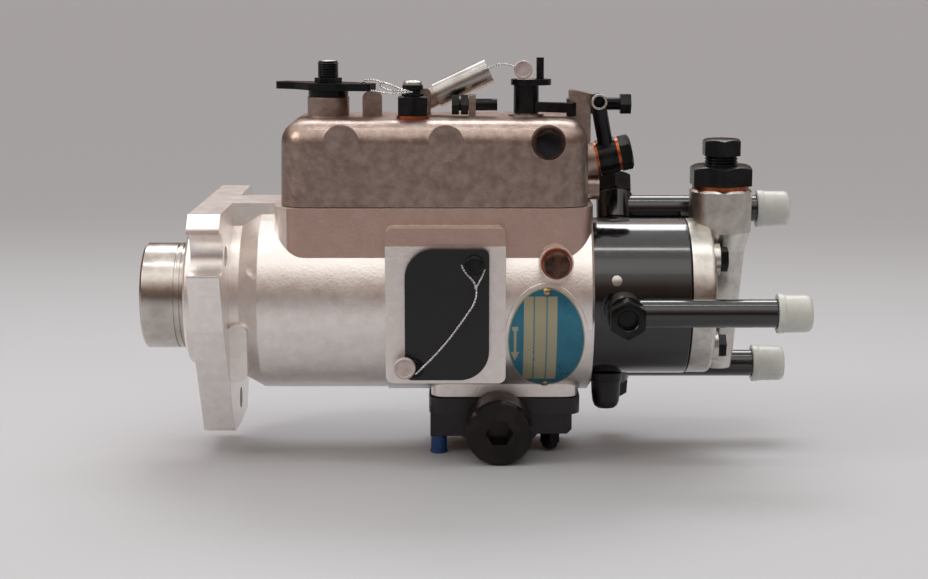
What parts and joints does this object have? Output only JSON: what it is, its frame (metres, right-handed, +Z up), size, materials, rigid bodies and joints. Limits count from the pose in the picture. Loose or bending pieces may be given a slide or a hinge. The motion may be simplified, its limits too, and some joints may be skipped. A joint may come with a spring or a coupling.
{
  "type": "rotary diesel injection pump",
  "caption": "Rotary distributor fuel injection pump with flanged drive end, ribbed cast body, governor cover with control levers, painted head, capped outlet pipes and inlet column.",
  "frame": {"origin": "on the shaft axis, in the front face of the mounting flange", "axes": "+X along the shaft from the drive end to the outlets, +Z up through the governor cover"},
  "size_m": [0.277, 0.1208, 0.1667],
  "materials": {
    "cast_aluminium": "satin casting",
    "black_paint": "gloss black paint",
    "black_steel": "black oxide",
    "turned_steel": "turned and ground",
    "hardened_steel": "ground",
    "pressed_steel": "pressed",
    "spring_steel": "drawn wire",
    "bronze": "machined",
    "seal_rubber": "moulded",
    "copper": "bright copper",
    "tin": "tinned",
    "plate_blue": "printed blue",
    "cap_plastic": "translucent",
    "gasket_paper": "pressed paper"
  },
  "bodies": {
    "pump_body": {"advance_housing": "black_paint", "advance_plug": "black_steel", "advance_spring_cap": "black_steel", "banjo_bolts": "black_steel", "cap_nuts": "black_steel", "control_bracket": "pressed_steel", "copper_washers": "copper", "end_plate": "cast_aluminium", "front_bush": "bronze", "gaskets": "gasket_paper", "governor_cover": "cast_aluminium", "governor_spring": "spring_steel", "head_screws": "black_steel", "hydraulic_head": "black_paint", "inlet_adaptor": "black_steel", "inlet_plug": "black_steel", "inspection_cover": "black_paint", "lead_seals": "tin", "name_plate": "plate_blue", "oil_seal": "seal_rubber", "outlet_pipes": "black_paint", "pump_housing": "cast_aluminium", "regulating_sleeve": "turned_steel", "return_pipe": "black_paint", "seal_wires": "tin", "sealing_sleeve": "tin", "side_screws": "black_steel", "stop_screws": "black_steel", "transfer_pump_liner": "hardened_steel", "transit_caps": "cap_plastic", "valve_springs": "spring_steel"},
    "rotating_group": {"drive_hub": "turned_steel", "drive_shaft": "turned_steel", "hub_screw": "black_steel", "weight_carrier": "pressed_steel", "drive_plate": "hardened_steel", "pumping_rotor": "turned_steel", "transfer_pump_rotor": "hardened_steel"},
    "near_plunger_group": {"plunger_near": "turned_steel", "roller_shoe_near": "hardened_steel"},
    "far_plunger_group": {"plunger_far": "turned_steel", "roller_shoe_far": "hardened_steel"},
    "sleeve": {"thrust_sleeve": "turned_steel"},
    "weight_1": {"governor_weight_1": "pressed_steel"},
    "weight_2": {"governor_weight_2": "pressed_steel"},
    "weight_3": {"governor_weight_3": "pressed_steel"},
    "weight_4": {"governor_weight_4": "pressed_steel"},
    "arm": {"governor_arm": "pressed_steel"},
    "valve": {"metering_valve": "turned_steel"},
    "hook": {"linkage_hook": "pressed_steel"},
    "throttle": {"throttle_shaft": "turned_steel", "throttle_lever": "black_steel"},
    "shutoff": {"shutoff_shaft": "turned_steel", "shutoff_lever": "black_steel", "shutoff_nut_and_washer": "black_steel"},
    "bar": {"shutoff_bar": "pressed_steel"},
    "advance": {"advance_piston": "turned_steel"},
    "cam": {"cam_ring": "hardened_steel", "cam_advance_screw": "turned_steel"},
    "regulator": {"regulating_piston": "turned_steel"}
  },
  "joints": [
    {"name": "drive_spin", "type": "hinge", "parent": "pump_body", "child": "rotating_group", "pos_m": [0, 0, 0], "axis": [1, 0, 0], "continuous": true},
    {"name": "near_plunger_slide", "type": "slide", "parent": "rotating_group", "child": "near_plunger_group", "axis": [0, -1, 0], "range_m": [0, 0.0014]},
    {"name": "far_plunger_slide", "type": "slide", "parent": "rotating_group", "child": "far_plunger_group", "axis": [0, 1, 0], "range_m": [0, 0.0014]},
    {"name": "sleeve_slide", "type": "slide", "parent": "rotating_group", "child": "sleeve", "axis": [1, 0, 0], "range_m": [0, 0.003], "stiffness_N_per_m": 600, "deforming": ["governor_spring"]},
    {"name": "weight_1_swing", "type": "hinge", "parent": "rotating_group", "child": "weight_1", "pos_m": [0.043, 0.021, 0], "axis": [0, 0, 1], "range_deg": [0, 16]},
    {"name": "weight_2_swing", "type": "hinge", "parent": "rotating_group", "child": "weight_2", "pos_m": [0.043, 0, 0.021], "axis": [0, -1, 0], "range_deg": [0, 16]},
    {"name": "weight_3_swing", "type": "hinge", "parent": "rotating_group", "child": "weight_3", "pos_m": [0.043, -0.021, 0], "axis": [0, 0, -1], "range_deg": [0, 16]},
    {"name": "weight_4_swing", "type": "hinge", "parent": "rotating_group", "child": "weight_4", "pos_m": [0.043, 0, -0.021], "axis": [0, 1, 0], "range_deg": [0, 16]},
    {"name": "arm_tilt", "type": "hinge", "parent": "pump_body", "child": "arm", "pos_m": [0.08655, 0, 0.036], "axis": [0, -1, 0], "range_deg": [0, 4.65]},
    {"name": "hook_slide", "type": "slide", "parent": "pump_body", "child": "hook", "axis": [-1, 0, 0], "range_m": [0, 0.00178]},
    {"name": "valve_turn", "type": "hinge", "parent": "pump_body", "child": "valve", "pos_m": [0.15, 0, 0.03], "axis": [0, 0, -1], "range_deg": [0, 12.9]},
    {"name": "throttle_turn", "type": "hinge", "parent": "pump_body", "child": "throttle", "pos_m": [0.1358, 0, 0.09], "axis": [0, 0, -1], "range_deg": [0, 40], "deforming": ["governor_spring"]},
    {"name": "shutoff_turn", "type": "hinge", "parent": "pump_body", "child": "shutoff", "pos_m": [0.0525, 0, 0.09], "axis": [0, 0, -1], "range_deg": [0, 38]},
    {"name": "bar_slide", "type": "slide", "parent": "pump_body", "child": "bar", "axis": [1, 0, 0], "range_m": [0, 0.0037]},
    {"name": "advance_slide", "type": "slide", "parent": "pump_body", "child": "advance", "axis": [0, 1, 0], "range_m": [0, 0.00718], "stiffness_N_per_m": 1500, "deforming": ["valve_springs"]},
    {"name": "cam_turn", "type": "hinge", "parent": "pump_body", "child": "cam", "pos_m": [0.1243, 0, 0], "axis": [1, 0, 0], "range_deg": [0, 8]},
    {"name": "regulator_slide", "type": "slide", "parent": "pump_body", "child": "regulator", "axis": [0, 0, 1], "range_m": [0, 0.004], "stiffness_N_per_m": 300, "deforming": ["valve_springs"]}
  ],
  "couplings": [
    {"joint": "weight_1_swing", "follows": "sleeve_slide", "rad_per_m": 93.075},
    {"joint": "weight_2_swing", "follows": "sleeve_slide", "rad_per_m": 93.075},
    {"joint": "weight_3_swing", "follows": "sleeve_slide", "rad_per_m": 93.075},
    {"joint": "weight_4_swing", "follows": "sleeve_slide", "rad_per_m": 93.075},
    {"joint": "arm_tilt", "follows": "sleeve_slide", "rad_per_m": 27.05},
    {"joint": "hook_slide", "follows": "sleeve_slide", "ratio": 0.59433},
    {"joint": "valve_turn", "follows": "sleeve_slide", "rad_per_m": 74.925},
    {"joint": "bar_slide", "follows": "shutoff_turn", "m_per_rad": 0.0055698},
    {"joint": "cam_turn", "follows": "advance_slide", "rad_per_m": 19.445}
  ]
}
